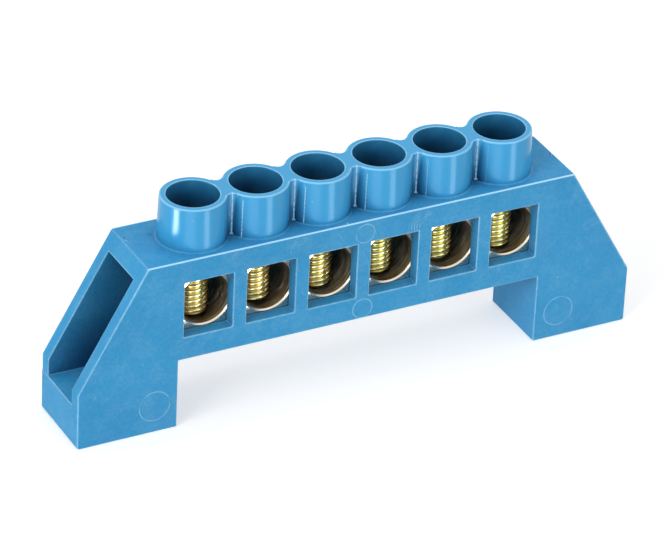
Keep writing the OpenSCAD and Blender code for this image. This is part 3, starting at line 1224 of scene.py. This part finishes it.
@dataclass
class ClampScrew:
    """One clamp screw: threaded shank with a chamfered tip, and a round head with slot and cross."""

    number: int
    layout: Layout
    thread_r: float = 2.5
    thread_depth: float = 0.18
    thread_pitch: float = 0.8
    thread_rows: tuple[float, ...] = (-0.06, 0.06, 0.30, 0.50)
    tip_r: float = 1.8
    head_r: float = 3.5
    head_h: float = 3.2
    head_chamfer: float = 0.35
    head_ease: float = 0.12
    cross_taper: Point2 = (0.6, 0.72)
    first_turn: float = 0.7
    next_turn: float = 1.9
    shank_root: float = 0.4
    overrun: float = 0.1
    head_edge: float = 0.07
    slot_w: float = 1.1
    slot_depth: float = 1.5
    cross_l: float = 4.6
    cross_w: float = 1.0
    cross_depth: float = 2.1
    steps: int = 40

    def thread(self, low: float, high: float) -> Workpiece:
        """A helical thread as a closed solid.

        Args:
            low: Height that its lowest turn starts below.
            high: Height that its last turn ends above.

        Returns:
            The threaded rod, with ramped ends.
        """
        crest, root, pitch = self.thread_r, self.thread_r - self.thread_depth, self.thread_pitch
        rows = list(zip(self.thread_rows, (crest, crest, root, root)))
        count = len(rows)
        start = low - pitch
        turns = math.ceil((high - start) / pitch) + 1
        last = self.steps * turns
        points: list[Point3] = []
        for i in range(last + 1):
            turn = 2 * math.pi * i / self.steps
            climb = start + pitch * i / self.steps
            for offset, radius in rows:
                points.append((radius * math.cos(turn), radius * math.sin(turn), climb + offset))
        faces: list[list[int]] = []
        for i in range(last):
            here, there = i * count, (i + 1) * count
            for j in range(count - 1):
                faces.append([here + j, there + j, there + j + 1, here + j + 1])
            over = here + self.steps * count
            if i + 1 + self.steps <= last:
                faces.append([here + count - 1, there + count - 1, over + count, over])
        below, above = len(points), len(points) + 1
        points += [(0.0, 0.0, start), (0.0, 0.0, start + pitch * turns)]
        rim = [i * count for i in range(self.steps + 1)] + list(range(count - 1, -1, -1))
        faces += [[below, rim[k + 1], rim[k]] for k in range(len(rim) - 1) if rim[k] != rim[k + 1]]
        first = last - self.steps
        rim = [i * count + count - 1 for i in range(first, last + 1)]
        rim += [last * count + j for j in range(count - 2, -1, -1)] + [first * count + count - 1]
        faces += [[above, rim[k], rim[k + 1]] for k in range(len(rim) - 1)]
        return Workpiece(points, faces)

    def head(self, seat: float) -> Workpiece:
        """The head with its driver recess, standing on a given height."""
        top = seat + self.head_h
        ease = self.head_ease
        profile = [
            (0.0, seat), (self.head_r - ease, seat), (self.head_r, seat + ease),
            (self.head_r, top - self.head_chamfer), (self.head_r - self.head_chamfer, top), (0.0, top),
        ]
        head = Workpiece.lathe(profile, 72)
        reach = self.head_r + 0.5
        slot = Workpiece.cuboid(
            (-reach, -self.slot_w / 2, top - self.slot_depth), (reach, self.slot_w / 2, top + 0.5)
        )
        head.combine(slot, Combine.CUT)
        long, wide = self.cross_taper
        for turn in (0.0, math.pi / 2):
            sections = []
            for z, length, width in (
                (top - self.cross_depth, long * self.cross_l, wide * self.cross_w),
                (top + self.overrun, self.cross_l, self.cross_w),
            ):
                plan = box_outline((-length / 2, -width / 2), (length / 2, width / 2))
                sections.append([(x, y, z) for x, y in plan])
            arm = Workpiece.loft(sections).place(Matrix.Rotation(turn, 4, "Z"))
            head.combine(arm, Combine.CUT)
        return head.round_edges(self.head_edge)

    def build(self, material: bpy.types.Material) -> bpy.types.Object:
        """Makes the screw and puts it in the frame.

        Args:
            material: The screws' material.

        Returns:
            The piece.
        """
        node = f"clamp_screw_{self.number}"
        low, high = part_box(node)
        length = (high.z - low.z) / MM - self.head_h
        past = self.thread_r + self.overrun
        root = length + self.shank_root
        shape = [(0.0, 0.0), (self.tip_r, 0.0), (past, past - self.tip_r), (past, root), (0.0, root)]
        shank = self.thread(0.0, root)
        shank.combine(Workpiece.lathe(shape, 64), Combine.KEEP)
        turn = self.first_turn + self.next_turn * self.number
        screw = self.head(length).combine(shank, Combine.JOIN)
        screw.place(Matrix.Rotation(turn, 4, "Z"))
        screw.shift(x=self.layout.terminals[self.number - 1], z=low.z / MM)
        piece = screw.finish(f"clamp_screw_dressed_{self.number}", material)
        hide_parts(node)
        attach(piece, f"{Body.SCREW.value}{self.number}")
        return piece


# ---------------------------------------------------------------- the studio


def look_axes(azimuth: float, elevation: float) -> tuple[Vector, Vector, Vector]:
    """Axes of a direction that is given by its angles.

    Args:
        azimuth: Angle from the front, in radians.
        elevation: Angle above the floor, in radians.

    Returns:
        The direction itself, the level one to the right as seen from it, and the upright one.
    """
    level = math.cos(elevation)
    ahead = Vector((math.sin(azimuth) * level, -math.cos(azimuth) * level, math.sin(elevation)))
    beside = ahead.cross(Vector((0, 0, 1))).normalized()
    return ahead, beside, beside.cross(ahead)


@dataclass(frozen=True)
class Camera:
    """The camera, set by its direction and by where the frame's origin lies before it."""

    azimuth: float = -28.51
    elevation: float = 31.11
    roll: float = 2.79
    lens: float = 251.37
    sensor: float = 36.0
    near: float = 0.01
    origin: Point3 = (0.741, -11.97, 657.5)

    def build(self) -> None:
        """Makes the camera and gives it to the scene."""
        azimuth, elevation, roll = (math.radians(a) for a in (self.azimuth, self.elevation, self.roll))
        back, left, upright = look_axes(azimuth, elevation)
        right = -math.cos(roll) * left + math.sin(roll) * upright
        up = math.sin(roll) * left + math.cos(roll) * upright
        place = -(right * self.origin[0] + up * self.origin[1] - back * self.origin[2]) * MM
        data = bpy.data.cameras.new("studio_camera")
        camera = stand("studio_camera", data)
        data.lens = self.lens
        data.sensor_width = self.sensor
        data.sensor_fit = "HORIZONTAL"
        data.clip_start = self.near
        axes = Matrix((right, up, back)).transposed().to_4x4()
        camera.matrix_world = Matrix.Translation(place) @ axes
        bpy.context.scene.camera = camera


@dataclass(frozen=True)
class Lamp:
    """One soft square lamp that faces the part."""

    name: str
    place: Point3
    power: float
    target: Point3 = (0.0, 0.0, 0.02)
    size: float = 0.9

    def build(self) -> None:
        """Makes the lamp."""
        data = bpy.data.lights.new(self.name, "AREA")
        data.shape = "RECTANGLE"
        data.size = data.size_y = self.size
        data.energy = self.power
        lamp = stand(self.name, data)
        way = Vector(self.target) - Vector(self.place)
        lamp.matrix_world = Matrix.Translation(self.place) @ way.to_track_quat("-Z", "Y").to_matrix().to_4x4()
        lamp.visible_camera = False


@dataclass(frozen=True)
class SoftBox:
    """A soft bright field that only reflections show."""

    azimuth: float
    elevation: float
    half_width: float
    half_height: float
    strength: float
    softness: float = 0.06

    def glow(self, sheet: Sheet, direction: Wire) -> Socket:
        """How much of the field lies in a direction.

        Args:
            sheet: The nodes of the surroundings.
            direction: The direction that is looked in.

        Returns:
            The field's strength there.
        """
        ahead, beside, over = look_axes(math.radians(self.azimuth), math.radians(self.elevation))
        depth = sheet.dot(direction, tuple(ahead))
        found = sheet.math("GREATER_THAN", depth, 0.0)
        for axis, reach in ((beside, self.half_width), (over, self.half_height)):
            edge = math.tan(math.radians(reach))
            share = sheet.math("DIVIDE", sheet.dot(direction, tuple(axis)), depth)
            found = sheet.product(found, sheet.size_band(share, edge + self.softness, edge - self.softness))
        return sheet.product(found, self.strength)


@dataclass(frozen=True)
class Studio:
    """Pale floor, white surroundings and soft lamps."""

    ambient: float = 0.60
    white: Colour = (1.0, 1.0, 1.0, 1.0)
    floor_colour: Colour = (0.60, 0.60, 0.60, 1.0)
    floor_half: float = 6.0
    floor_lift: float = 0.52
    boxes: tuple[SoftBox, ...] = (
        SoftBox(-80.0, -27.0, 8.0, 18.0, 36.0),
        SoftBox(24.0, -27.0, 8.0, 18.0, 7.0),
        SoftBox(-30.0, -28.0, 14.0, 18.0, 2.6, 0.12),
    )
    lamps: tuple[Lamp, ...] = (
        Lamp("key_lamp", (-1.60, -0.70, 0.98), 20.5),
        Lamp("fill_lamp", (0.70, -1.70, 0.78), 7.1),
        Lamp("top_lamp", (0.30, 0.20, 1.97), 6.0),
    )

    def surroundings(self) -> None:
        """White for the camera and in reflections, and a plain even light for surfaces."""
        world = bpy.data.worlds.new("studio_surroundings")
        bpy.context.scene.world = world
        world.cycles.sampling_method = "NONE"
        sheet = Sheet(Sheet.emptied(world))
        seen, rays = sheet.seen_rays()
        light = {"Value": seen, "To Min": self.ambient, "To Max": 1.0}
        strength = sheet.add("ShaderNodeMapRange", light).outputs["Result"]
        direction = sheet.vector("NORMALIZE", sheet.add("ShaderNodeTexCoord").outputs["Generated"])
        for box in self.boxes:
            glow = sheet.product(box.glow(sheet, direction), rays["Is Glossy Ray"])
            strength = sheet.math("ADD", strength, glow)
        shader = sheet.add("ShaderNodeBackground", {"Color": self.white, "Strength": strength})
        sheet.add("ShaderNodeOutputWorld", {"Surface": shader.outputs[0]})

    def floor(self) -> None:
        """A wide pale floor that keeps the object's shadow."""
        mesh = bpy.data.meshes.new("studio_floor")
        corners = box_outline((-self.floor_half, -self.floor_half), (self.floor_half, self.floor_half))
        mesh.from_pydata([(x, y, 0) for x, y in corners], [], [(0, 1, 2, 3)])
        floor = stand("studio_floor", mesh)
        floor.visible_glossy = False
        material = bpy.data.materials.new("studio_floor")
        sheet = Sheet(Sheet.emptied(material))
        glow = {"Color": self.white, "Strength": sheet.product(sheet.seen_rays()[0], self.floor_lift)}
        lift = sheet.add("ShaderNodeEmission", glow).outputs[0]
        paint = sheet.add("ShaderNodeBsdfDiffuse", {"Color": self.floor_colour}).outputs[0]
        both = sheet.add("ShaderNodeAddShader", {0: paint, 1: lift}).outputs[0]
        sheet.add("ShaderNodeOutputMaterial", {"Surface": both})
        mesh.materials.append(material)

    def build(self) -> None:
        """Makes the surroundings, the floor and the lamps."""
        self.surroundings()
        self.floor()
        for lamp in self.lamps:
            lamp.build()
        bpy.context.scene.view_settings.view_transform = "Standard"


def report(piece: bpy.types.Object) -> None:
    """Logs a finished piece with its number of triangles."""
    triangles = sum(len(polygon.vertices) - 2 for polygon in piece.data.polygons)
    LOG.info("%s: %d triangles", piece.name, triangles)


def main() -> None:
    """Builds the studio and every piece in order."""
    logging.basicConfig(level=logging.INFO, format="%(name)s: %(message)s")
    Camera().build()
    Studio().build()
    effects = Effects()
    layout = Layout.from_frame()
    moulding = MouldingFinish().material(effects)
    metal = BarFinish().material(effects)
    plated = ScrewFinish().material(effects)
    report(Housing(layout).build(moulding))
    report(TerminalBar(layout).build(metal))
    for number in range(1, len(layout.terminals) + 1):
        report(ClampScrew(number, layout).build(plated))


if __name__ == "__main__":
    main()
